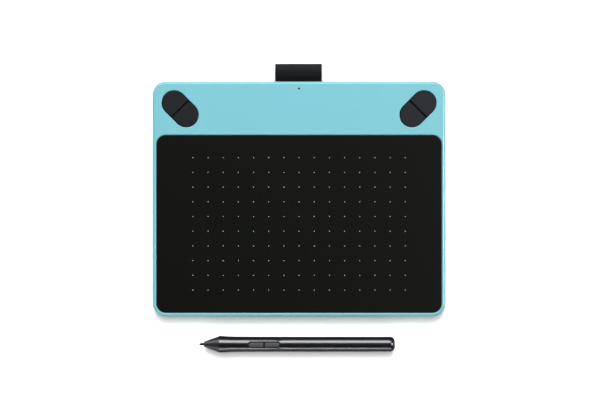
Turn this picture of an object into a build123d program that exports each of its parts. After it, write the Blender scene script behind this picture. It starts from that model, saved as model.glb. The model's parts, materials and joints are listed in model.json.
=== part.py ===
from build123d import *
import math
import os

# A small pen drawing tablet with its pen lying in front of it, in millimetres.
# X runs along the tablet's long side, Y away from the user, Z up from the desk.
# Everything is built in tablet coordinates, with X = Y = 0 at the middle of the tablet and
# Z = 0 on the desk. write_node moves it by SET_SHIFT, which puts the origin at the middle of
# the footprint of the whole set: tablet, pen loop and pen.

# ---- tablet, driving dimensions ----
WIDTH = 210.3
DEPTH = 168.75
HEIGHT = 10.0
CORNER_R = 9.3
WALL = 1.6
SPLIT_Z = 5.0            # the top cover meets the base cover here
TOP_EDGE_R = 1.9
BOTTOM_EDGE_R = 3.6
FOOT_OUT = 0.8           # the feet stand this far out of the base
BASE_INSET = 0.3         # shadow step between the top cover and the base cover

# ---- drawing surface ----
SIDE_RIM = 2.75
FRONT_RIM = 2.75
KEY_STRIP = 38.65        # depth of the coloured strip behind the drawing surface
PANEL_R = 6.8
PANEL_T = 0.6
PANEL_TOP = 9.6
PANEL_GAP = 0.3
PANEL_W = WIDTH - 2 * SIDE_RIM
PANEL_D = DEPTH - KEY_STRIP - FRONT_RIM
PANEL_Y = (FRONT_RIM - KEY_STRIP) / 2
PANEL_FLOOR = PANEL_TOP - PANEL_T
PANEL_PLATE_UNDER = 7.8  # underside of the top cover below the drawing surface
STRIP_UNDER = 8.4        # underside of the top cover below the coloured strip
REAR_Y = DEPTH / 2
PANEL_REAR_Y = REAR_Y - KEY_STRIP

# ---- express keys: one slanted slot in each rear corner, with two keys in it ----
KEY_LENGTH = 29.3
KEY_WIDTH = 17.1
KEY_X = WIDTH / 2 - 19.8
KEY_Y = REAR_Y - 19.75
KEY_GAP = 0.45           # all round each key, so the slit between two keys is twice this
KEY_TOP = 10.2
KEY_FLANGE = 0.8
KEY_FLANGE_T = 0.8
KEY_SKIRT_UNDER = 7.5
KEY_PLATE_T = 1.2
KEY_TRAVEL = 0.5
KEY_BOSS_R = 1.6
RIM_EDGE_R = 0.5        # rounding of the top cover's edges round the keys and the panel

# ---- boards ----
SENSOR_W, SENSOR_D, SENSOR_Y = 176.0, 117.0, -17.5
SENSOR_Z, SENSOR_T = 7.2, 0.6
SHIELD_T = 0.3
BOARD_Z, BOARD_T = 5.9, 0.8
BOARD_Y0, BOARD_Y1 = 71.0, 80.5
WING_X0, WING_X1, WING_Y0 = 68.0, 98.0, 53.0

# ---- base cover and its compartment ----
BASE_FLOOR = 2.2
BASE_WALL = 2.5
SILL_Z = 3.1             # raised floor round the compartment
LIP_T = 0.8
LIP_H = 1.2
RIB_T = 1.0
RIB_TOP = SENSOR_Z - SHIELD_T
BAY_ROOF = 6.4
BAY_REAR_Y = 65.0
DOOR_X = 66.0            # half width of the sliding compartment cover
DOOR_Y0 = 22.0
DOOR_T = 1.4
DOOR_GAP = 0.15
TONGUE_W, TONGUE_T = 1.4, 0.6
POCKETS = {              # x0, y0, x1, y1 of each pocket under the compartment cover
    "battery": (-8.0, 26.0, 61.0, BAY_REAR_Y),
    "module": (-61.0, 43.0, -10.0, BAY_REAR_Y),
    "nibs": (-61.0, 26.0, -10.0, 41.0),
}

# ---- screws ----
CASE_SCREWS = [(-93.0, -74.0), (93.0, -74.0), (-75.0, 75.5), (75.0, 75.5)]
BAY_SCREWS = [(-53.0, 67.6), (53.0, 67.6)]
BOARD_SCREWS = [(-95.0, 56.5), (95.0, 56.5), (24.0, 75.5)]
SHANK_R, PILOT_R, CLEAR_R = 0.95, 1.0, 1.2
HEAD_R, HEAD_T, COUNTERBORE_R = 1.7, 1.2, 1.9
BOSS_R = 2.5

# ---- feet ----
FOOT_X, FOOT_Y = 84.0, 74.5
FOOT_L, FOOT_W, FOOT_RECESS = 24.0, 8.0, 0.4

# ---- USB port in the left wall ----
USB_Y, USB_Z = 58.0, 4.5
USB_W, USB_H, USB_L = 7.8, 2.8, 5.6
USB_SHELL_T = 0.3

# ---- pen loop in the rear wall ----
LOOP_W = 33.7
LOOP_X = -0.4            # the loop sits a little left of the middle
LOOP_OUT = 12.9
RIBBON_T = 0.55
LOOP_ROOT_Z = 4.45
LOOP_Z = 6.3             # mid height of the open end
LOOP_A, LOOP_B = 4.6, 3.7
ANCHOR_Y0, ANCHOR_Y1 = 77.5, 81.4

# ---- pen ----
PEN_Y = -104.525
PEN_Z = 5.9
PEN_TIP_X, PEN_REAR_X = -71.8, 68.8
CONE_X0, CONE_X1 = -68.4, -57.6
CAP_X = 65.2
PEN_FRONT_R, PEN_WAIST_R, PEN_MID_R, PEN_REAR_R = 5.9, 5.4, 5.33, 5.27
PEN_BORE_R = 3.95
CONE_MOUTH_R = 2.0
NIB_R, NIB_HOLE_R = 0.9, 1.0
SWITCH_X0, SWITCH_X1 = -37.0, -13.2
SWITCH_W = 4.8
SWITCH_GAP = 0.85
SWITCH_SPLIT = 1.1         # between the two buttons
SWITCH_PROUD = 0.25
SWITCH_UNDER = 2.9       # above the pen's axis
SWITCH_TRAVEL = 0.3

# The set's footprint runs from the pen's near side to the end of the pen loop.
SET_SHIFT = -(REAR_Y + LOOP_OUT + PEN_Y - PEN_FRONT_R) / 2


def write_node(name, *solids):
    """Writes one node, moved from tablet coordinates into the set's own frame."""
    body = solids[0] if len(solids) == 1 else Compound(list(solids))
    export_step(Pos(0, SET_SHIFT, 0) * body, f"parts/{name}.step")


def slab(x0, y0, x1, y1, z0, z1, radius=0.0):
    """Upright block between two corners and two heights, with rounded upright edges."""
    width, depth = x1 - x0, y1 - y0
    outline = RectangleRounded(width, depth, radius) if radius else Rectangle(width, depth)
    return extrude(Pos((x0 + x1) / 2, (y0 + y1) / 2, z0) * outline, z1 - z0)


def tablet_slab(inset, z0, z1):
    """The tablet's own outline, pulled in by inset, between two heights."""
    x, y = WIDTH / 2 - inset, DEPTH / 2 - inset
    return slab(-x, -y, x, y, z0, z1, CORNER_R - inset)


def post(x, y, radius, z0, z1):
    """Upright cylinder between two heights."""
    return extrude(Pos(x, y, z0) * Circle(radius), z1 - z0)


def pin(x0, x1, radius):
    """Cylinder along the pen's axis."""
    return Pos(x0, PEN_Y, PEN_Z) * Rot(0, 90, 0) * extrude(Circle(radius), x1 - x0)


def turned(lines):
    """Solid of revolution about the pen's axis, with its seam underneath. The lines close an
    outline in X and radius."""
    outline = make_face([edge for line in lines for edge in line.edges()])
    return Pos(0, PEN_Y, PEN_Z) * revolve(Rot(180, 0, 0) * Plane.XZ * outline, Axis.X)


def screw(x, y, z_head, z_tip, head_r, head_t, shank_r):
    """Pan-head screw pointing up, with a cross recess in its head."""
    body = post(x, y, head_r, z_head, z_head + head_t) + post(x, y, shank_r, z_head + head_t, z_tip)
    arm, blade, deep = head_r * 1.2, head_r * 0.28, head_t * 0.5
    for w, d in ((arm, blade), (blade, arm)):
        body -= slab(x - w / 2, y - d / 2, x + w / 2, y + d / 2, z_head, z_head + deep)
    return body


# ---------------------------------------------------------------- top cover


def key_place(side):
    """Frame of the key slot on one side: its local X points to the tablet's rear corner."""
    return Pos(side * KEY_X, KEY_Y, 0) * Rot(0, 0, 45 if side > 0 else 135)


def key_slot(side, grow, z0, z1):
    """The slot that holds two keys, grown outwards all round."""
    outline = SlotOverall(KEY_LENGTH + 2 * grow, KEY_WIDTH + 2 * grow)
    return key_place(side) * extrude(Pos(0, 0, z0) * outline, z1 - z0)


def panel_slab(inset, z0, z1):
    """The drawing surface's outline, pulled in by inset, between two heights."""
    x, y = PANEL_W / 2 - inset, PANEL_D / 2 - inset
    return slab(-x, PANEL_Y - y, x, PANEL_Y + y, z0, z1, PANEL_R - inset)


def usb_notch():
    """Clearance for the USB port through the left wall."""
    grow = 0.3
    half_w, half_h = USB_W / 2 + grow, USB_H / 2 + grow
    return slab(-WIDTH / 2 - 1, USB_Y - half_w, -WIDTH / 2 + 4, USB_Y + half_w,
                USB_Z - half_h, USB_Z + half_h)


def top_cover():
    cover = tablet_slab(0, SPLIT_Z, HEIGHT)
    cover = fillet(cover.edges().group_by(Axis.Z)[-1], TOP_EDGE_R)
    inner_x, inner_y = WIDTH / 2 - WALL, DEPTH / 2 - WALL
    cavity = tablet_slab(WALL, SPLIT_Z, STRIP_UNDER)
    cavity -= slab(-inner_x - 1, -inner_y - 1, inner_x + 1, PANEL_REAR_Y + WALL,
                   PANEL_PLATE_UNDER, STRIP_UNDER)
    cover -= cavity
    cover -= panel_slab(-PANEL_GAP, PANEL_FLOOR, HEIGHT)
    for side in (-1, 1):
        cover -= key_slot(side, KEY_GAP, STRIP_UNDER, HEIGHT)
    top_face = cover.faces().sort_by(Axis.Z)[-1]
    rims = [e for wire in top_face.inner_wires() for e in wire.edges()]
    cover = fillet(rims, RIM_EDGE_R)
    cover -= post(0, LED_Y, PIPE_R + 0.05, STRIP_UNDER, HEIGHT)
    for x, y in CASE_SCREWS:
        under = STRIP_UNDER if y > PANEL_REAR_Y else PANEL_PLATE_UNDER
        cover += post(x, y, BOSS_R, SPLIT_Z, under)
        cover -= post(x, y, PILOT_R, SPLIT_Z, 7.5)
    for x, y in BAY_SCREWS:
        cover += post(x, y, BOSS_R, RIB_TOP, STRIP_UNDER)
        cover -= post(x, y, PILOT_R, RIB_TOP, 8.6)
    for x, y in BOARD_SCREWS:
        cover += post(x, y, BOSS_R, BOARD_Z + BOARD_T, STRIP_UNDER)
        cover -= post(x, y, PILOT_R, BOARD_Z + BOARD_T, 8.6)
    return cover - usb_notch()


def drawing_surface():
    sheet = panel_slab(0, PANEL_FLOOR, PANEL_TOP)
    return fillet(sheet.edges().group_by(Axis.Z)[-1], 0.15)


# ---------------------------------------------------------------- express keys


def express_key(side, half):
    """One key. half is +1 for the key next to the corner and -1 for the other one."""
    place = key_place(side)
    long = KEY_LENGTH
    keep = place * slab(min(0, half * long) + (half > 0) * KEY_GAP, -long,
                        max(0, half * long) - (half < 0) * KEY_GAP, long, 0, 2 * HEIGHT)
    cap = key_slot(side, 0, KEY_SKIRT_UNDER, KEY_TOP) & keep
    cap = fillet(cap.edges().group_by(Axis.Z)[-1], 0.4)
    hollow = key_slot(side, -1.2, KEY_SKIRT_UNDER, KEY_TOP - KEY_PLATE_T) & (
        place * slab(min(0, half * long) + (half > 0) * (KEY_GAP + 1.2), -long,
                     max(0, half * long) - (half < 0) * (KEY_GAP + 1.2), long, 0, 2 * HEIGHT))
    flange = key_slot(side, KEY_FLANGE, KEY_SKIRT_UNDER, KEY_SKIRT_UNDER + KEY_FLANGE_T)
    cap += (flange - key_slot(side, -0.5, 0, HEIGHT)) & keep
    cap -= hollow
    x, y = key_switch_place(side, half)
    return cap + post(x, y, KEY_BOSS_R, KEY_BOSS_UNDER, KEY_TOP - KEY_PLATE_T)


def key_switch_place(side, half):
    """Where the switch under one key sits."""
    at = (key_place(side) * Pos(half * KEY_LENGTH / 4, 0, 0)).position
    return at.X, at.Y


BOARD_TOP = BOARD_Z + BOARD_T
SWITCH_BODY_T = 0.8
KEY_BOSS_UNDER = BOARD_TOP + SWITCH_BODY_T + KEY_TRAVEL + 0.05
PLUNGER_R = 1.0
PLUNGER_UNDER = BOARD_TOP + SWITCH_BODY_T - 0.15


def tactile_switch(side, half):
    """Low switch body on the control board, with a well for the plunger."""
    x, y = key_switch_place(side, half)
    size = 2.4
    body = slab(x - size, y - size, x + size, y + size, BOARD_TOP, BOARD_TOP + SWITCH_BODY_T, 0.3)
    return body - post(x, y, PLUNGER_R + 0.15, BOARD_TOP + 0.1, BOARD_TOP + SWITCH_BODY_T)


def key_plunger(side, half):
    x, y = key_switch_place(side, half)
    return post(x, y, PLUNGER_R, PLUNGER_UNDER, KEY_BOSS_UNDER)


# ---------------------------------------------------------------- status light

LED_Y = REAR_Y - 5.15
PIPE_R = 0.72


def status_led():
    return slab(-0.8, LED_Y - 0.4, 0.8, LED_Y + 0.4, BOARD_TOP, BOARD_TOP + 0.6)


def light_pipe():
    flange = post(0, LED_Y, 1.5, BOARD_TOP + 0.8, STRIP_UNDER)
    return flange + post(0, LED_Y, PIPE_R, STRIP_UNDER, HEIGHT - 0.05)


# ---------------------------------------------------------------- boards


def sensor_board():
    """Thin board with the antenna grid, glued up under the top cover."""
    x, y = SENSOR_W / 2, SENSOR_D / 2
    return slab(-x, SENSOR_Y - y, x, SENSOR_Y + y, SENSOR_Z, SENSOR_Z + SENSOR_T, 2.0)


RIBBON_X, RIBBON_W = 78.0, 14.0


def shield_plate():
    """Thin steel sheet under the sensor board, cut away where the ribbon leaves it."""
    x, y = SENSOR_W / 2 - 1, SENSOR_D / 2 - 1
    plate = slab(-x, SENSOR_Y - y, x, SENSOR_Y + y, SENSOR_Z - SHIELD_T, SENSOR_Z, 1.5)
    half = RIBBON_W / 2 + 2
    return plate - slab(RIBBON_X - half, 33, RIBBON_X + half, 50, 0, HEIGHT)


def control_board():
    """U-shaped board: a strip along the rear wall and a wing under each pair of keys."""
    board = slab(-WING_X1, BOARD_Y0, WING_X1, BOARD_Y1, BOARD_Z, BOARD_TOP)
    for side in (-1, 1):
        x0, x1 = sorted((side * WING_X0, side * WING_X1))
        board += slab(x0, WING_Y0, x1, BOARD_Y1, BOARD_Z, BOARD_TOP)
    board += slab(-101.5, USB_Y - 5, -WING_X1, USB_Y + 5, BOARD_Z, BOARD_TOP)
    for x, y in CASE_SCREWS:
        board -= post(x, y, BOSS_R + 0.3, BOARD_Z, BOARD_TOP)
    for x, y in BOARD_SCREWS:
        board -= post(x, y, CLEAR_R, BOARD_Z, BOARD_TOP)
    return board


def chip(x, y, size, thick):
    """Chip soldered under the control board, with a pin-one dimple."""
    half = size / 2
    body = slab(x - half, y - half, x + half, y + half, BOARD_Z - thick, BOARD_Z)
    return body - post(x - half + 1.2, y + half - 1.2, 0.4, BOARD_Z - thick, BOARD_Z - thick + 0.1)


def small_components():
    """Resistors and capacitors in two rows under the control board."""
    found = []
    for row, y in enumerate((73.2, 78.2)):
        for column in range(7):
            x = 48 + 2.6 * column
            size = 0.8 if (row + column) % 2 else 0.5
            found.append(slab(x - 0.8, y - size, x + 0.8, y + size, BOARD_Z - 0.6, BOARD_Z))
    return found


def crystal():
    return slab(-47.0, 75.0, -43.8, 77.5, BOARD_Z - 0.8, BOARD_Z, 0.4)


def ribbon_connectors():
    """The two sockets that the ribbon cable joins: under the sensor board and the control board."""
    half = RIBBON_W / 2 + 1
    x0, x1 = RIBBON_X - half, RIBBON_X + half
    on_sensor = slab(x0, 35, x1, 39.5, SENSOR_Z - 1.2, SENSOR_Z)
    on_control = slab(x0, 54.5, x1, 58, BOARD_Z - 1.0, BOARD_Z)
    return on_sensor, on_control


def ribbon_cable():
    """Flat cable between the two sockets, face to face with each."""
    z0, z1, thick = SENSOR_Z - 0.6, BOARD_Z - 0.5, 0.2
    path = [(39.5, z0), (43.0, z0), (50.5, z1), (54.5, z1)]
    lower = [(y, z - thick / 2) for y, z in path]
    upper = [(y, z + thick / 2) for y, z in reversed(path)]
    outline = make_face(Polyline(*lower, *upper, close=True))
    strip = extrude(Plane.YZ * outline, RIBBON_W)
    return Pos(RIBBON_X - RIBBON_W / 2, 0, 0) * strip


def usb_shell():
    """Metal shell of the micro-USB socket, open at its mouth."""
    x0 = -WIDTH / 2 + 0.4
    half_w, half_h = USB_W / 2, USB_H / 2
    block = slab(x0, USB_Y - half_w, x0 + USB_L, USB_Y + half_w, USB_Z - half_h, USB_Z + half_h)
    lower = [e for e in block.edges().filter_by(Axis.X) if e.center().Z < USB_Z]
    block = chamfer(lower, 0.6)
    inner = offset(block, -USB_SHELL_T)
    return block - inner - Pos(-1, 0, 0) * inner


def usb_tongue():
    """Insulator and contact tongue inside the socket."""
    x0 = -WIDTH / 2 + 0.4
    half_w = USB_W / 2 - USB_SHELL_T - 0.3
    back = slab(x0 + USB_L - 1.2, USB_Y - half_w, x0 + USB_L - USB_SHELL_T, USB_Y + half_w,
                USB_Z - 0.6, USB_Z + 0.9)
    tongue = slab(x0 + 0.8, USB_Y - half_w + 0.8, x0 + USB_L - 1.2, USB_Y + half_w - 0.8,
                  USB_Z - 0.1, USB_Z + 0.5)
    return back + tongue


# ---------------------------------------------------------------- base cover


def base_outline(z1):
    """Solid shape of the base with its rounded bottom edge, up to z1."""
    shape = tablet_slab(BASE_INSET, FOOT_OUT, SPLIT_Z)
    shape = fillet(shape.edges().group_by(Axis.Z)[0], BOTTOM_EDGE_R)
    return shape & slab(-WIDTH, -DEPTH, WIDTH, DEPTH, 0, z1)


def support_ribs():
    """Grid of ribs that carries the shield plate, ending at the compartment."""
    x_end, y_end, y_bay = 86.0, -74.0, DOOR_Y0 - 2.5
    ribs = [slab(x - RIB_T / 2, y_end, x + RIB_T / 2, y_bay, BASE_FLOOR, RIB_TOP)
            for x in (-60, -30, 0, 30, 60)]
    ribs += [slab(-x_end, y - RIB_T / 2, x_end, y + RIB_T / 2, BASE_FLOOR, RIB_TOP)
             for y in (-62, -31, 0)]
    return ribs


def foot_place(side_x, side_y):
    return Pos(side_x * FOOT_X, side_y * FOOT_Y, 0)


def base_cover():
    base = base_outline(SPLIT_Z)
    base -= tablet_slab(BASE_WALL, BASE_FLOOR, SPLIT_Z)
    base += (tablet_slab(WALL + 0.1, SPLIT_Z - 0.5, SPLIT_Z + LIP_H)
             - tablet_slab(WALL + 0.1 + LIP_T, SPLIT_Z - 0.5, SPLIT_Z + LIP_H))
    base += support_ribs()
    base += slab(-69.5, DOOR_Y0 - 2.5, 69.5, REAR_Y - 2, BASE_FLOOR, SILL_Z)
    base += slab(-64, DOOR_Y0 + 2, 64, BAY_REAR_Y + 5, BASE_FLOOR, RIB_TOP)
    # the sliding cover's place, its side grooves and the groove for its front tongue
    gap = DOOR_GAP
    base -= slab(-DOOR_X - gap, DOOR_Y0 - gap, DOOR_X + gap, REAR_Y + 5, 0, FOOT_OUT + DOOR_T + 0.1)
    groove_z = FOOT_OUT + DOOR_T - TONGUE_T - 0.1
    reach = DOOR_X + TONGUE_W + gap
    base -= slab(-reach, DOOR_Y0 - TONGUE_W - gap, reach, REAR_Y + 5, groove_z,
                 FOOT_OUT + DOOR_T + 0.1)
    for x0, y0, x1, y1 in POCKETS.values():
        base -= slab(x0, y0, x1, y1, 0, BAY_ROOF, 1.5)
    for x0, x1 in (CONTACT_WINDOW, MODULE_WINDOW):
        base -= slab(x0, BAY_REAR_Y - 1, x1, BAY_REAR_Y + 6, 3.5, 5.7)
    for x, y in CASE_SCREWS:
        base += post(x, y, BOSS_R + 0.5, BASE_FLOOR - 1, SPLIT_Z)
        base -= post(x, y, CLEAR_R, 0, SPLIT_Z)
        base -= post(x, y, COUNTERBORE_R, 0, CASE_HEAD_Z + HEAD_T)
    for x, y in BAY_SCREWS:
        base -= post(x, y, CLEAR_R, 0, RIB_TOP)
        base -= post(x, y, COUNTERBORE_R, 0, BAY_HEAD_Z + HEAD_T)
    for side_x in (-1, 1):
        for side_y in (-1, 1):
            recess = SlotOverall(FOOT_L + 0.2, FOOT_W + 0.2)
            base -= foot_place(side_x, side_y) * extrude(recess, FOOT_OUT + FOOT_RECESS)
    base -= usb_notch()
    half = LOOP_W / 2 + 0.3
    base -= slab(LOOP_X - half, ANCHOR_Y1, LOOP_X + half, REAR_Y, LOOP_ROOT_Z - RIBBON_T, SPLIT_Z)
    return base


CONTACT_WINDOW = (8.0, 24.0)
MODULE_WINDOW = (-46.5, -31.5)
CASE_HEAD_Z = 2.2
BAY_HEAD_Z = 4.0


def compartment_cover():
    """Cover that slides out under the rear wall, with side and front tongues and a thumb grip."""
    z1 = FOOT_OUT + DOOR_T
    plate = base_outline(z1) & slab(-DOOR_X, DOOR_Y0, DOOR_X, REAR_Y, 0, z1)
    reach = DOOR_X + TONGUE_W
    tongues = slab(-reach, DOOR_Y0 - TONGUE_W, reach, 80.0, z1 - TONGUE_T, z1)
    plate += tongues
    plate -= slab(-62, 25, 62, 66, z1 - 0.4, z1, 1.5)
    for step in range(5):
        y = 71.0 + 1.8 * step
        plate += slab(-8, y - 0.4, 8, y + 0.4, FOOT_OUT - 0.3, FOOT_OUT + 0.2)
    return plate


def rubber_foot(side_x, side_y):
    pad = foot_place(side_x, side_y) * extrude(SlotOverall(FOOT_L, FOOT_W), FOOT_OUT + FOOT_RECESS)
    return fillet(pad.edges().group_by(Axis.Z)[0], 0.3)


def battery_contacts():
    """Three leaf contacts from the control board, through the bay wall, to the battery."""
    found = []
    for x in (11.0, 16.0, 21.0):
        half, thick = 0.6, 0.3
        leg = slab(x - half, 72.0, x + half, 72.0 + thick, 4.4, BOARD_Z)
        arm = slab(x - half, 64.2, x + half, 72.0 + thick, 4.4, 4.4 + thick)
        tip = slab(x - half, 64.2, x + half, 64.2 + thick, 3.7, 4.4 + thick)
        found.append(leg + arm + tip)
    return found


def module_connector():
    """Socket for the wireless module, hung under the control board's front edge."""
    body = slab(-45.5, 65.0, -32.5, 73.0, 3.7, 5.5) + slab(-45.5, 71.2, -32.5, 73.0, 3.7, BOARD_Z)
    return body - slab(-44.0, 64.0, -34.0, 67.0, 4.3, 4.9)


NIB_ROWS = (28.8, 32.4, 36.0)
RING_X, RING_Y = -19.0, 33.5
NIB_AXIS_Z = 4.1


def nib_tray():
    """Soft block glued to the pocket's roof that holds spare nibs and the nib remover."""
    x0, y0, x1, y1 = POCKETS["nibs"]
    tray = slab(x0 + 0.3, y0 + 0.3, x1 - 0.3, y1 - 0.3, NIB_AXIS_Z - 0.3, BAY_ROOF, 1.2)
    for y in NIB_ROWS:
        tray -= Pos(-55.2, y, NIB_AXIS_Z) * Rot(0, 90, 0) * extrude(Circle(NIB_R + 0.05), 22.4)
    return tray - post(RING_X, RING_Y, 5.7, 0, NIB_AXIS_Z + 1.4)


def spare_nibs():
    return [Pos(-55.0, y, NIB_AXIS_Z) * Rot(0, 90, 0) * extrude(Circle(NIB_R), 22.0)
            for y in NIB_ROWS]


def nib_remover():
    """Small steel ring with a pinch slot for pulling a worn nib."""
    ring = post(RING_X, RING_Y, 5.5, 3.0, 5.4) - post(RING_X, RING_Y, 4.4, 3.0, 5.4)
    return ring - slab(RING_X + 3, RING_Y - 0.5, RING_X + 7, RING_Y + 0.5, 3.0, 5.4)


# ---------------------------------------------------------------- pen loop


def teardrop(inset):
    """Side outline of the ribbon loop: an elliptical open end drawn in to its flat root."""
    a, b = LOOP_A - inset, LOOP_B - inset
    centre_y = REAR_Y + LOOP_OUT - LOOP_A
    root_y = REAR_Y + 0.1
    root_z = [LOOP_ROOT_Z + sign * max(RIBBON_T - inset, 0.01) for sign in (1, -1)]
    turns = []
    for sign, z in zip((1, -1), root_z):
        # with heights stretched by a/b the ellipse is a circle, and this is its tangent point
        y, tall = root_y - centre_y, (z - LOOP_Z) * a / b
        turns.append((math.atan2(tall, y) - sign * math.acos(a / math.hypot(y, tall))) * sign
                     % (2 * math.pi) * sign)
    top, low = turns
    steps = [top + (low - top) * n / 8 for n in range(9)]
    at = [(centre_y + a * math.cos(t), LOOP_Z + b * math.sin(t)) for t in steps]
    curve = Spline(*at, tangents=[(a * math.sin(top), -b * math.cos(top)),
                                  (a * math.sin(low), -b * math.cos(low))])
    straight = Polyline(at[-1], (root_y, root_z[1]), (root_y, root_z[0]), at[0])
    return make_face(curve.edges() + straight.edges())


def pen_loop():
    """Ribbon loop for the pen, with its two ends lying together in the rear wall."""
    root_y = ANCHOR_Y0 + 1.5
    root = Rectangle(REAR_Y + 0.1 - root_y, 2 * RIBBON_T, align=(Align.MIN, Align.CENTER))
    outline = teardrop(0) - teardrop(RIBBON_T) + Pos(root_y, LOOP_ROOT_Z) * root
    return Pos(LOOP_X - LOOP_W / 2, 0, 0) * extrude(Plane.YZ * outline, LOOP_W)


def loop_anchor():
    """Clamp bar on the base's sill that holds the ribbon's ends."""
    half = LOOP_W / 2 + 1.5
    bar = slab(LOOP_X - half, ANCHOR_Y0, LOOP_X + half, ANCHOR_Y1, SILL_Z, 5.5)
    slot_x = LOOP_W / 2 + 0.2
    return bar - slab(LOOP_X - slot_x, ANCHOR_Y0 + 1.5, LOOP_X + slot_x, ANCHOR_Y1,
                      LOOP_ROOT_Z - RIBBON_T, LOOP_ROOT_Z + RIBBON_T)


# ---------------------------------------------------------------- pen


def pen_barrel():
    """Tapered barrel, widest at the grip end, with a slot for the side switches."""
    front = CONE_X1
    nose = Line((front, PEN_BORE_R), (front, PEN_FRONT_R - 0.12))
    edge = Line(nose @ 1, (front + 0.12, PEN_FRONT_R))
    grip = Spline(edge @ 1, (-50.0, 5.55), (-42.0, PEN_WAIST_R), (-28.0, PEN_MID_R),
                  tangents=[(1, 0), (1, -0.004)])
    tail = Line(grip @ 1, (CAP_X, PEN_REAR_R))
    close = Polyline(tail @ 1, (CAP_X, PEN_BORE_R), nose @ 0)
    barrel = turned([nose, edge, grip, tail, close])
    return barrel - switch_prism(0, SWITCH_X0, SWITCH_X1, 0, 2 * PEN_FRONT_R)


def switch_prism(inset, x0, x1, z0, z1):
    """Upright prism with round ends over the side switch's slot, heights from the pen's axis."""
    length = SWITCH_X1 - SWITCH_X0
    slot = SlotOverall(length - 2 * inset, SWITCH_W - 2 * inset)
    middle = (SWITCH_X0 + SWITCH_X1) / 2
    prism = extrude(Pos(middle, PEN_Y, PEN_Z + z0) * slot, z1 - z0)
    return prism & slab(x0, PEN_Y - 10, x1, PEN_Y + 10, -20, 40)


def side_switch(x0, x1):
    """One side button: a crowned cap that rides in the slot, with a flange inside the barrel."""
    cap = switch_prism(SWITCH_GAP, x0, x1, SWITCH_UNDER, 2 * PEN_FRONT_R)
    cap &= pin(SWITCH_X0, SWITCH_X1, PEN_MID_R + SWITCH_PROUD)
    flange = slab(x0, PEN_Y - 2.6, x1, PEN_Y + 2.6, PEN_Z + SWITCH_UNDER, PEN_Z + SWITCH_UNDER + 0.5)
    flange &= pin(SWITCH_X0 - 1, SWITCH_X1 + 1, PEN_BORE_R - 0.15)
    return cap + flange


def side_switch_ends():
    """X limits of the front and the rear side button."""
    middle = (SWITCH_X0 + SWITCH_X1) / 2
    split = SWITCH_SPLIT / 2
    return (SWITCH_X0 + SWITCH_GAP, middle - split), (middle + split, SWITCH_X1 - SWITCH_GAP)


def pen_cone():
    """Front cone with a spigot that plugs into the barrel."""
    spigot = PEN_BORE_R - 0.05
    outline = Polyline((CONE_X0, NIB_HOLE_R), (CONE_X0, CONE_MOUTH_R - 0.5),
                       (CONE_X0 + 0.25, CONE_MOUTH_R), (CONE_X1, PEN_FRONT_R - 0.16),
                       (CONE_X1, spigot), (-52.5, spigot), (-52.5, 3.2), (-60.0, 3.2),
                       (-65.5, NIB_HOLE_R), close=True)
    return turned([outline])


def pen_cap():
    """Rear plug with a rounded end and a shallow dish in its end face."""
    spigot = PEN_BORE_R - 0.05
    round_r, dish_r = 3.2, 1.7
    outer = Line((CAP_X, PEN_REAR_R), (PEN_REAR_X - round_r, PEN_REAR_R - 0.03))
    corner = RadiusArc(outer @ 1, (PEN_REAR_X, PEN_REAR_R - 0.03 - round_r), round_r)
    dish = Polyline(corner @ 1, (PEN_REAR_X, dish_r), (PEN_REAR_X - 0.35, dish_r - 0.35),
                    (PEN_REAR_X - 0.35, 0), (CAP_X - 6, 0), (CAP_X - 6, spigot), (CAP_X, spigot),
                    outer @ 0)
    return turned([outer, corner, dish])


def pen_nib():
    """Plastic nib with a rounded point, running back through the coil into the pressure sensor."""
    tip_r = 0.6
    side = PEN_TIP_X + tip_r
    tip = RadiusArc((PEN_TIP_X, 0), (side, tip_r), tip_r)
    rest = Polyline(tip @ 1, (side + 0.6, NIB_R), (-41.0, NIB_R), (-41.0, 0), tip @ 0)
    return turned([tip, rest])


def coil_core():
    return pin(-52.2, -44.0, 2.2) - pin(-52.2, -44.0, NIB_HOLE_R)


def coil_winding():
    return pin(-51.6, -45.0, 3.0) - pin(-51.6, -45.0, 2.2)


def pressure_sensor():
    """Capsule behind the coil that the nib pushes into."""
    return pin(-43.6, -37.8, 3.0) - pin(-43.6, -40.0, NIB_HOLE_R)


def pen_board():
    top, thick = 1.6, 0.8
    return slab(-37.0, PEN_Y - 3.2, 12.0, PEN_Y + 3.2, PEN_Z + top - thick, PEN_Z + top)


def pen_carrier():
    """Half-round chassis under the pen's board."""
    shell = pin(-37.0, 40.0, PEN_BORE_R - 0.1) - pin(-36.0, 39.0, PEN_BORE_R - 0.9)
    return shell & slab(-40, PEN_Y - 5, 45, PEN_Y + 5, 0, PEN_Z + 0.8)


def pen_tact_switches():
    """Two switches on the pen's board, one under each side button."""
    found = []
    for x0, x1 in side_switch_ends():
        x, half, top = (x0 + x1) / 2, 1.3, 1.6
        found.append(slab(x - half, PEN_Y - half, x + half, PEN_Y + half, PEN_Z + top,
                          PEN_Z + SWITCH_UNDER - SWITCH_TRAVEL - 0.1))
    return found


# ---------------------------------------------------------------- all nodes


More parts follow.
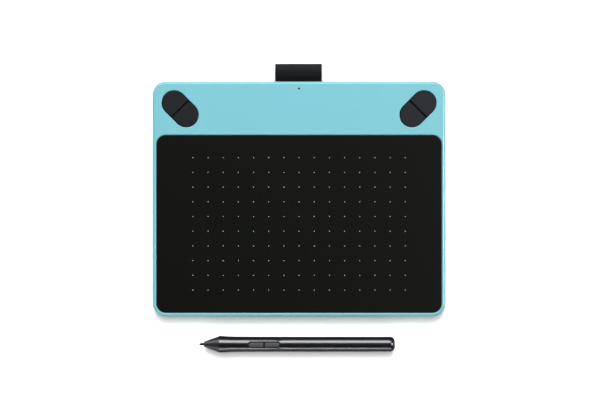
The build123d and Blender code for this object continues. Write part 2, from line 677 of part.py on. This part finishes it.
def main():
    os.makedirs("parts", exist_ok=True)
    write_node("top_cover", top_cover())
    write_node("drawing_surface", drawing_surface())
    for side, side_name in ((-1, "left"), (1, "right")):
        for half, half_name in ((1, "outer"), (-1, "inner")):
            write_node(f"express_key_{side_name}_{half_name}", express_key(side, half))
            write_node(f"key_plunger_{side_name}_{half_name}", key_plunger(side, half))
    corners = [(side, half) for side in (-1, 1) for half in (-1, 1)]
    write_node("tactile_switches", *[tactile_switch(side, half) for side, half in corners])
    write_node("status_led", status_led())
    write_node("light_pipe", light_pipe())
    write_node("sensor_board", sensor_board())
    write_node("shield_plate", shield_plate())
    write_node("control_board", control_board())
    write_node("microcontroller", chip(-27.0, 75.7, 7.0, 0.9))
    write_node("sensor_chip", chip(37.0, 75.7, 8.0, 1.0))
    write_node("crystal", crystal())
    write_node("small_components", *small_components())
    write_node("ribbon_connectors", *ribbon_connectors())
    write_node("ribbon_cable", ribbon_cable())
    write_node("usb_shell", usb_shell())
    write_node("usb_tongue", usb_tongue())
    write_node("base_cover", base_cover())
    write_node("compartment_cover", compartment_cover())
    write_node("rubber_feet", *[rubber_foot(x, y) for x, y in corners])
    write_node("case_screws", *[screw(x, y, CASE_HEAD_Z, 7.2, HEAD_R, HEAD_T, SHANK_R)
                                for x, y in CASE_SCREWS])
    write_node("bay_screws", *[screw(x, y, BAY_HEAD_Z, 8.3, HEAD_R, HEAD_T, SHANK_R)
                               for x, y in BAY_SCREWS])
    write_node("board_screws", *[screw(x, y, BOARD_Z - 1.0, 8.3, HEAD_R, 1.0, SHANK_R)
                                 for x, y in BOARD_SCREWS])
    write_node("battery_contacts", *battery_contacts())
    write_node("module_connector", module_connector())
    write_node("nib_tray", nib_tray())
    write_node("spare_nibs", *spare_nibs())
    write_node("nib_remover", nib_remover())
    write_node("pen_loop", pen_loop())
    write_node("loop_anchor", loop_anchor())
    write_node("pen_barrel", pen_barrel())
    write_node("pen_cone", pen_cone())
    write_node("pen_cap", pen_cap())
    write_node("pen_nib", pen_nib())
    front, rear = side_switch_ends()
    write_node("side_switch_front", side_switch(*front))
    write_node("side_switch_rear", side_switch(*rear))
    write_node("pen_tact_switches", *pen_tact_switches())
    write_node("pen_coil_core", coil_core())
    write_node("pen_coil_winding", coil_winding())
    write_node("pen_pressure_sensor", pressure_sensor())
    write_node("pen_board", pen_board())
    write_node("pen_carrier", pen_carrier())
    print("set shift in Y", SET_SHIFT)


main()
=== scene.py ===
import json
import math

import bmesh
import bpy
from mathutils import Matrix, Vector


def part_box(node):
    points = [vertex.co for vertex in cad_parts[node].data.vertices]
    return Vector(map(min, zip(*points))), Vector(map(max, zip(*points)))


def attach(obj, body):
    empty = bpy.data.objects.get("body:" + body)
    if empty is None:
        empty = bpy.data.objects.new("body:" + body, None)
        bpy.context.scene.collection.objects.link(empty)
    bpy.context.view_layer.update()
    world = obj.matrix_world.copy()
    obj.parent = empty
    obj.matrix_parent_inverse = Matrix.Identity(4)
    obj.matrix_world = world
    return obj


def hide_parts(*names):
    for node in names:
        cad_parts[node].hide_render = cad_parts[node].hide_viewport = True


# A pen drawing tablet with its pen. Metres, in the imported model's own frame: X along the long
# side, Y away from the user, Z up from the desk.

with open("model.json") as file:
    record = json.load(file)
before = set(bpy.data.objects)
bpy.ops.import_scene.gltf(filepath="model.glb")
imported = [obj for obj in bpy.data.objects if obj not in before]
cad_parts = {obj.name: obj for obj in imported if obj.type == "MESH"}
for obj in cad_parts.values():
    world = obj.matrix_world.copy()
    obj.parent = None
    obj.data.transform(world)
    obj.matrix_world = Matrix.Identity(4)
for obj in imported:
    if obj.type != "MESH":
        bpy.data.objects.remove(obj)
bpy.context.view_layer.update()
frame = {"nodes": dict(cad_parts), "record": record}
MM = 0.001
nodes = frame["nodes"]


def srgb(r, g, b):
    """Linear colour from 8-bit sRGB values."""
    out = []
    for c in (r, g, b):
        c /= 255
        out.append(c / 12.92 if c <= 0.04045 else ((c + 0.055) / 1.055) ** 2.4)
    return (*out, 1.0)


# ---------------------------------------------------------------- camera and light

TABLET_LOW, TABLET_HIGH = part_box("top_cover")
TABLET_MID = (TABLET_LOW + TABLET_HIGH) / 2
PIXELS_PER_M = 1394.0
IMAGE_W = 600
VIEW_SHIFT = Vector((0.66, -2.925, 0)) * MM    # from the tablet's middle to the view's middle
LENS, SENSOR = 100, 36      # both in millimetres
CLIP = 0.05, 20

# Each light: azimuth and angle from the vertical in degrees, distance and two sizes in metres,
# power in watts. Azimuth 0 is behind the set, at +Y.
MATT_LIGHTS = {             # light the set evenly and don't show in reflections
    "dome_light": (0, 0, 5.0, 10.0, 10.0, 56),
    "overhead_light": (0, 22, 4.5, 4.8, 3.3, 198),
    "front_fill_light": (180, 50, 4.5, 4.8, 1.8, 81),
}
REAR_LIGHT = (0, 44, 4.5, 2.1, 2.7, 240)        # does both
GLOSS_LIGHTS = {            # the strips and patches that the pen and the rounded edges reflect
    "front_light": (180, 68, 1.5, 0.7, 0.25, 7.5),
    "front_left_light": (212, 75, 1.5, 0.6, 0.3, 2.5),
    "side_light": (90, 46, 1.5, 0.3, 0.6, 32),
    "rear_left_light": (-39, 62, 1.5, 0.6, 0.5, 8),
}
WORLD_STRENGTH = 0.03

FLOOR_HALF = 8.0
FLOOR_DROP = 0.02 * MM      # keeps the floor clear of the feet
FLOOR_GREY = 0.9


def make_camera():
    data = bpy.data.cameras.new("camera")
    camera = bpy.data.objects.new("camera", data)
    bpy.context.scene.collection.objects.link(camera)
    data.sensor_width = SENSOR
    data.lens = LENS
    seen = IMAGE_W / PIXELS_PER_M
    distance = seen * data.lens / data.sensor_width
    camera.location = TABLET_MID + VIEW_SHIFT
    camera.location.z = TABLET_HIGH.z + distance
    data.clip_start, data.clip_end = CLIP
    bpy.context.scene.camera = camera


def area_light(name, azimuth, from_vertical, distance, size_x, size_y, power):
    """Rectangular white light that faces the middle of the set."""
    data = bpy.data.lights.new(name, "AREA")
    data.shape = "RECTANGLE"
    data.size, data.size_y = size_x, size_y
    data.energy = power
    light = bpy.data.objects.new(name, data)
    bpy.context.scene.collection.objects.link(light)
    a, t = math.radians(azimuth), math.radians(from_vertical)
    out = Vector((math.sin(a) * math.sin(t), math.cos(a) * math.sin(t), math.cos(t)))
    light.location = out * distance
    light.rotation_mode = "QUATERNION"
    light.rotation_quaternion = out.to_track_quat("Z", "Y")
    return light


def make_light():
    for name, spec in MATT_LIGHTS.items():
        area_light(name, *spec).visible_glossy = False
    area_light("rear_light", *REAR_LIGHT)
    for name, spec in GLOSS_LIGHTS.items():
        area_light(name, *spec).visible_diffuse = False
    world = bpy.data.worlds.new("world")
    bpy.context.scene.world = world
    world.use_nodes = True
    background = world.node_tree.nodes["Background"]
    background.inputs["Color"].default_value = (1, 1, 1, 1)
    background.inputs["Strength"].default_value = WORLD_STRENGTH
    bpy.context.scene.view_settings.view_transform = "Standard"


def make_floor():
    mesh = bpy.data.meshes.new("floor")
    half = FLOOR_HALF
    mesh.from_pydata([(-half, -half, 0), (half, -half, 0), (half, half, 0), (-half, half, 0)],
                     [], [(0, 1, 2, 3)])
    floor = bpy.data.objects.new("floor", mesh)
    bpy.context.scene.collection.objects.link(floor)
    floor.location.z = -FLOOR_DROP
    material = bpy.data.materials.new("floor")
    material.use_nodes = True
    shader = material.node_tree.nodes["Principled BSDF"]
    shader.inputs["Base Color"].default_value = (FLOOR_GREY, FLOOR_GREY, FLOOR_GREY, 1)
    shader.inputs["Roughness"].default_value = 0.9
    shader.inputs["Specular IOR Level"].default_value = 0.1
    mesh.materials.append(material)


# ---------------------------------------------------------------- materials

CLOUD_SCALE = 60.0          # of the slow change of tone, per metre
GRAIN_DEPTH = 0.05 * MM
BUTTON_SHADE_FULL_DEPTH = 1.7 * MM      # below the pen's highest point: painted shade, all black from here down
BUTTON_SHADE_END_DEPTH = 1.1 * MM     # and plain plastic from here up, the painted shade fading in between
# the black painted into the side switches' slot as shade
PAINTED_SHADE_BLACK = (0.002, 0.002, 0.002, 1)
WARP_PITCH, WARP_SHARE = 0.55, 0.45             # of the weft's pitch and height
YARN_SCALE, YARN_SHARE = 4000.0, 0.5
WEAVE_DEPTH = 0.12 * MM

def new_material(name, roughness, specular=0.5, metallic=0.0):
    material = bpy.data.materials.new(name)
    material.use_nodes = True
    shader = material.node_tree.nodes["Principled BSDF"]
    shader.inputs["Roughness"].default_value = roughness
    shader.inputs["Specular IOR Level"].default_value = specular
    shader.inputs["Metallic"].default_value = metallic
    return material, material.node_tree, shader


def node(tree, kind, **values):
    made = tree.nodes.new(kind)
    for key, value in values.items():
        if key in made.inputs:
            made.inputs[key].default_value = value
        else:
            setattr(made, key, value)
    return made


def moulded(name, colour, vary=0.03, roughness=0.45, rough_vary=0.05, grain_mm=0.35,
            grain=0.06, specular=0.5, metallic=0.0, edge_tint=1.0):
    """Moulded plastic: faint cloudy tone, roughness that varies a little, and a fine grain."""
    material, tree, shader = new_material(name, roughness, specular, metallic)
    shader.inputs["Specular Tint"].default_value = (edge_tint, edge_tint, edge_tint, 1)
    where = node(tree, "ShaderNodeTexCoord")
    cloud = node(tree, "ShaderNodeTexNoise", Scale=CLOUD_SCALE, Detail=3.0)
    tree.links.new(where.outputs["Object"], cloud.inputs["Vector"])
    tone = node(tree, "ShaderNodeMix", data_type="RGBA")
    dark = tuple(c * (1 - vary) for c in colour[:3]) + (1,)
    light = tuple(min(1, c * (1 + vary)) for c in colour[:3]) + (1,)
    tone.inputs["A"].default_value = dark
    tone.inputs["B"].default_value = light
    tree.links.new(cloud.outputs["Fac"], tone.inputs["Factor"])
    tree.links.new(tone.outputs["Result"], shader.inputs["Base Color"])
    fine = node(tree, "ShaderNodeTexNoise", Scale=1 / (grain_mm * MM), Detail=2.0)
    tree.links.new(where.outputs["Object"], fine.inputs["Vector"])
    spread = node(tree, "ShaderNodeMapRange")
    spread.inputs["To Min"].default_value = roughness - rough_vary
    spread.inputs["To Max"].default_value = roughness + rough_vary
    tree.links.new(fine.outputs["Fac"], spread.inputs["Value"])
    tree.links.new(spread.outputs["Result"], shader.inputs["Roughness"])
    bump = node(tree, "ShaderNodeBump", Strength=grain, Distance=GRAIN_DEPTH)
    tree.links.new(fine.outputs["Fac"], bump.inputs["Height"])
    tree.links.new(bump.outputs["Normal"], shader.inputs["Normal"])
    return material


def button_plastic_painted_shade(material):
    """Side switches: their sunk flanges and lower sides are painted black as shade, and lose their
    shine, deeper down in the slot.
    """
    tree = material.node_tree
    shader = tree.nodes["Principled BSDF"]
    tone = shader.inputs["Base Color"].links[0].from_socket
    where = node(tree, "ShaderNodeTexCoord")
    axes = node(tree, "ShaderNodeSeparateXYZ")
    tree.links.new(where.outputs["Object"], axes.inputs["Vector"])
    _, pen_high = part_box("pen_barrel")
    shade_mask = node(tree, "ShaderNodeMapRange")
    shade_mask.inputs["From Min"].default_value = pen_high.z - BUTTON_SHADE_FULL_DEPTH
    shade_mask.inputs["From Max"].default_value = pen_high.z - BUTTON_SHADE_END_DEPTH
    tree.links.new(axes.outputs["Z"], shade_mask.inputs["Value"])
    # painted shade: black mixed in with depth below the pen's top, where the slot's shade falls
    sunk = node(tree, "ShaderNodeMix", data_type="RGBA")
    sunk.inputs["A"].default_value = PAINTED_SHADE_BLACK
    tree.links.new(shade_mask.outputs["Result"], sunk.inputs["Factor"])
    tree.links.new(tone, sunk.inputs["B"])
    tree.links.new(sunk.outputs["Result"], shader.inputs["Base Color"])
    # painted shade: the shine fades out with the same depth
    shine = node(tree, "ShaderNodeMapRange")
    shine.inputs["To Max"].default_value = shader.inputs["Specular IOR Level"].default_value
    tree.links.new(shade_mask.outputs["Result"], shine.inputs["Value"])
    tree.links.new(shine.outputs["Result"], shader.inputs["Specular IOR Level"])
    return material


def woven(name, thread, light, pitch_mm=0.8):
    """Ribbed ribbon, on its own UV coordinates in metres: weft ribs across it, split into
    stitches by the warp, with rough yarn."""
    material, tree, shader = new_material(name, 0.6, 0.14)
    shader.inputs["Sheen Weight"].default_value = 0.005
    shader.inputs["Sheen Roughness"].default_value = 0.4
    where = node(tree, "ShaderNodeTexCoord")
    waves = []
    for direction, pitch in (("Y", pitch_mm), ("X", pitch_mm * WARP_PITCH)):
        wave = node(tree, "ShaderNodeTexWave", bands_direction=direction,
                    Scale=math.pi / (10 * pitch * MM))
        tree.links.new(where.outputs["UV"], wave.inputs["Vector"])
        waves.append(wave)
    cloth = node(tree, "ShaderNodeMath", operation="MULTIPLY_ADD")
    cloth.inputs[1].default_value = WARP_SHARE
    tree.links.new(waves[1].outputs["Fac"], cloth.inputs[0])
    tree.links.new(waves[0].outputs["Fac"], cloth.inputs[2])
    yarn = node(tree, "ShaderNodeTexNoise", Scale=YARN_SCALE, Detail=2.0)
    tree.links.new(where.outputs["Object"], yarn.inputs["Vector"])
    rough = node(tree, "ShaderNodeMath", operation="MULTIPLY_ADD")
    rough.inputs[1].default_value = YARN_SHARE
    tree.links.new(yarn.outputs["Fac"], rough.inputs[0])
    tree.links.new(cloth.outputs[0], rough.inputs[2])
    tone = node(tree, "ShaderNodeMix", data_type="RGBA")
    tone.inputs["A"].default_value = (*thread, 1)
    tone.inputs["B"].default_value = (*light, 1)
    tree.links.new(rough.outputs[0], tone.inputs["Factor"])
    tree.links.new(tone.outputs["Result"], shader.inputs["Base Color"])
    bump = node(tree, "ShaderNodeBump", Strength=0.6, Distance=WEAVE_DEPTH)
    tree.links.new(rough.outputs[0], bump.inputs["Height"])
    tree.links.new(bump.outputs["Normal"], shader.inputs["Normal"])
    return material


def paint(material, *names):
    for name in names:
        data = nodes[name].data
        data.materials.clear()
        data.materials.append(material)


def make_materials():
    made = {
        "shell": moulded("shell_plastic", (0.11, 0.319, 0.362), roughness=0.36, specular=0.45),
        "panel": moulded("panel_plastic", (0.0024, 0.0028, 0.0022), roughness=0.42,
                         specular=0.06),
        "key": moulded("key_plastic", (0.0032, 0.0039, 0.0058), roughness=0.46, specular=0.19),
        "white": moulded("white_plastic", srgb(222, 222, 216), roughness=0.5),
        "rubber": moulded("foot_rubber", srgb(52, 54, 56), roughness=0.8, specular=0.3),
        "board": moulded("board_lacquer", srgb(8, 20, 17), roughness=0.35, vary=0.1),
        "chip": moulded("chip_resin", srgb(30, 30, 32), roughness=0.6),
        "steel": moulded("steel", srgb(186, 188, 192), roughness=0.3, metallic=1.0),
        "gold": moulded("gold_plate", srgb(226, 186, 98), roughness=0.25, metallic=1.0),
        "copper": moulded("copper_wire", srgb(196, 112, 62), roughness=0.35, metallic=1.0),
        "flex": moulded("flex_film", srgb(190, 120, 40), roughness=0.3),
        "tray": moulded("tray_rubber", srgb(74, 78, 82), roughness=0.75),
        "ferrite": moulded("ferrite", srgb(56, 54, 54), roughness=0.7),
        "barrel": moulded("barrel_lacquer", (0.056, 0.056, 0.06), roughness=0.29, rough_vary=0.03,
                          metallic=1.0, edge_tint=0.1),
        "grip": moulded("cone_plastic", (0.06, 0.06, 0.064), roughness=0.36, metallic=0.85,
                        edge_tint=0.1),
        # the side switches, with painted shade down in their slot
        "button": button_plastic_painted_shade(moulded("button_plastic_painted_shade", (0.036, 0.036, 0.038), roughness=0.5,
                                         specular=0.3)),
        "nib": moulded("nib_plastic", srgb(7, 7, 8), roughness=0.6, specular=0.1),
        "light_guide": moulded("light_guide", (0.0005, 0.008, 0.014), roughness=0.5, specular=0.2),
        "ribbon": woven("ribbon_weave", (0.0006, 0.0006, 0.001), (0.0016, 0.0017, 0.0026)),
    }
    slots = {s["node"]: s["material_slot"] for s in frame["record"]["subparts"]}
    use = {
        "shell": "shell", "panel": "panel", "key": "key", "key_mechanism": "white",
        "ribbon": "ribbon", "foot_rubber": "rubber", "circuit_board": "board", "chip": "chip",
        "shield": "steel", "screw_steel": "steel", "port_steel": "steel",
        "contact_gold": "gold", "flex": "flex", "light_guide": "light_guide", "tray": "tray",
        "pen_body": "barrel", "pen_grip": "grip", "pen_button": "button", "nib": "nib",
        "ferrite": "ferrite", "copper": "copper",
    }
    for name in nodes:
        paint(made[use[slots[name]]], name)
    return made


# ---------------------------------------------------------------- pieces

DOT_COLUMNS, DOT_ROWS, DOT_SIDES = 15, 10, 14
DOT_R = 0.3 * MM
DOT_UNDER, DOT_OVER = -0.01 * MM, 0.012 * MM    # below and above the drawing surface
AREA_W, AREA_D = 152.4 * MM, 95.0 * MM
AREA_FORWARD = 17.9 * MM    # of the area's middle, from the tablet's middle towards the user

LOOP_ROOT_Z, LOOP_MID_Z = 4.45 * MM, 6.3 * MM   # where the ribbon leaves, and its open end's middle
LOOP_A, LOOP_B = 4.6 * MM, 3.7 * MM             # the open end's outer half length and half height
RIBBON_HALF_T = 0.275 * MM
ROOT_OUT, ROOT_STRAIGHT = 0.1 * MM, 0.4 * MM    # past the rear wall, and straight before the bend
BEND_POINTS, CORNER_CUTS = 40, 3
PATH_STEP = 0.25 * MM
FLAT_COLUMNS, EDGE_SIDES = 24, 4
FRAY, FRAY_WAVES = 0.0025, (1.9 * MM, 0.7 * MM)

def new_piece(name, bm, material, body, smooth=True):
    mesh = bpy.data.meshes.new(name)
    bm.to_mesh(mesh)
    bm.free()
    for polygon in mesh.polygons:
        polygon.use_smooth = smooth
    piece = bpy.data.objects.new(name, mesh)
    bpy.context.scene.collection.objects.link(piece)
    mesh.materials.append(material)
    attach(piece, body)
    return piece


def active_area_dots(material):
    """Printed dots that mark the active area: thin discs on the drawing surface."""
    low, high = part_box("drawing_surface")
    middle = Vector(((low.x + high.x) / 2, TABLET_MID.y - AREA_FORWARD, high.z))
    bm = bmesh.new()
    turns = [2 * math.pi * n / DOT_SIDES for n in range(DOT_SIDES)]
    for column in range(DOT_COLUMNS):
        for row in range(DOT_ROWS):
            at = middle + Vector((AREA_W * (column / (DOT_COLUMNS - 1) - 0.5),
                                  AREA_D * (row / (DOT_ROWS - 1) - 0.5), 0))
            under, over = ([bm.verts.new(at + Vector((DOT_R * math.cos(a), DOT_R * math.sin(a), z)))
                            for a in turns] for z in (DOT_UNDER, DOT_OVER))
            bm.faces.new(over)
            bm.faces.new(list(reversed(under)))
            for n in range(DOT_SIDES):
                m = (n + 1) % DOT_SIDES
                bm.faces.new((under[n], under[m], over[m], over[n]))
    return new_piece("active_area_dots", bm, material, "tablet", smooth=False)


def ribbon_path():
    """Middle line of the folded ribbon in Y and Z, from one clamped end to the other."""
    low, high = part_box("pen_loop")
    root_y = TABLET_HIGH.y + ROOT_OUT
    a, b = LOOP_A - RIBBON_HALF_T, LOOP_B - RIBBON_HALF_T
    centre_y = high.y - RIBBON_HALF_T - a
    turns = []
    for sign in (1, -1):
        y, tall = root_y - centre_y, (LOOP_ROOT_Z + sign * RIBBON_HALF_T - LOOP_MID_Z) * a / b
        turn = (math.atan2(tall, y) - sign * math.acos(a / math.hypot(y, tall))) * sign
        turns.append(turn % (2 * math.pi) * sign)
    ends = [[(low.y, z), (root_y - ROOT_STRAIGHT, z)]
            for z in (LOOP_ROOT_Z + RIBBON_HALF_T, LOOP_ROOT_Z - RIBBON_HALF_T)]
    bend = [(centre_y + a * math.cos(t), LOOP_MID_Z + b * math.sin(t))
            for t in (turns[0] + (turns[1] - turns[0]) * n / BEND_POINTS
                      for n in range(BEND_POINTS + 1))]
    path = [Vector((0, y, z)) for y, z in ends[0] + bend + list(reversed(ends[1]))]
    for _ in range(CORNER_CUTS):
        cut = [p.lerp(q, share) for p, q in zip(path, path[1:]) for share in (0.25, 0.75)]
        path = [path[0], *cut, path[-1]]
    even, left = [path[0]], PATH_STEP
    for p, q in zip(path, path[1:]):
        length = (q - p).length
        while left <= length:
            even.append(p.lerp(q, left / length))
            left += PATH_STEP
        left -= length
    return even + [path[-1]]


def pen_loop_ribbon(material):
    """The ribbon as one closed mesh: a thin rounded section swept along the fold."""
    low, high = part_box("pen_loop")
    half_w, half_t = (high.x - low.x) / 2, RIBBON_HALF_T
    mid_x = (low.x + high.x) / 2
    path = ribbon_path()
    flat_w = half_w - half_t
    section = [(flat_w * (2 * n / FLAT_COLUMNS - 1), half_t) for n in range(FLAT_COLUMNS + 1)]
    section += [(flat_w + half_t * math.sin(a), half_t * math.cos(a))
                for a in (math.pi * n / EDGE_SIDES for n in range(1, EDGE_SIDES))]
    section += [(-x, -z) for x, z in section]
    bm = bmesh.new()
    uv = bm.loops.layers.uv.new("UVMap")
    rings, along, run = [], [], 0.0
    for n, at in enumerate(path):
        before, after = path[max(n - 1, 0)], path[min(n + 1, len(path) - 1)]
        forward = (after - before).normalized()
        out = Vector((0, -forward.z, forward.y))
        run += (at - before).length
        along.append(run)
        fray = 1 - FRAY * (1 + math.sin(run / FRAY_WAVES[0]) * math.sin(run / FRAY_WAVES[1]))
        rings.append([bm.verts.new(at + Vector((mid_x + x * fray, 0, 0)) + out * z)
                      for x, z in section])
    count = len(section)
    for n in range(len(path) - 1):
        for k in range(count):
            m = (k + 1) % count
            face = bm.faces.new((rings[n][k], rings[n][m], rings[n + 1][m], rings[n + 1][k]))
            for loop, (col, row) in zip(face.loops, ((k, n), (m, n), (m, n + 1), (k, n + 1))):
                loop[uv].uv = (section[col][0] + half_w, along[row])
    bm.faces.new(list(reversed(rings[0])))
    bm.faces.new(rings[-1])
    bmesh.ops.recalc_face_normals(bm, faces=bm.faces)
    piece = new_piece("pen_loop_ribbon", bm, material, "tablet")
    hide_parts("pen_loop")
    return piece


make_camera()
make_light()
make_floor()
materials = make_materials()
active_area_dots(moulded("dot_print", srgb(150, 154, 154), roughness=0.6))
pen_loop_ribbon(materials["ribbon"])
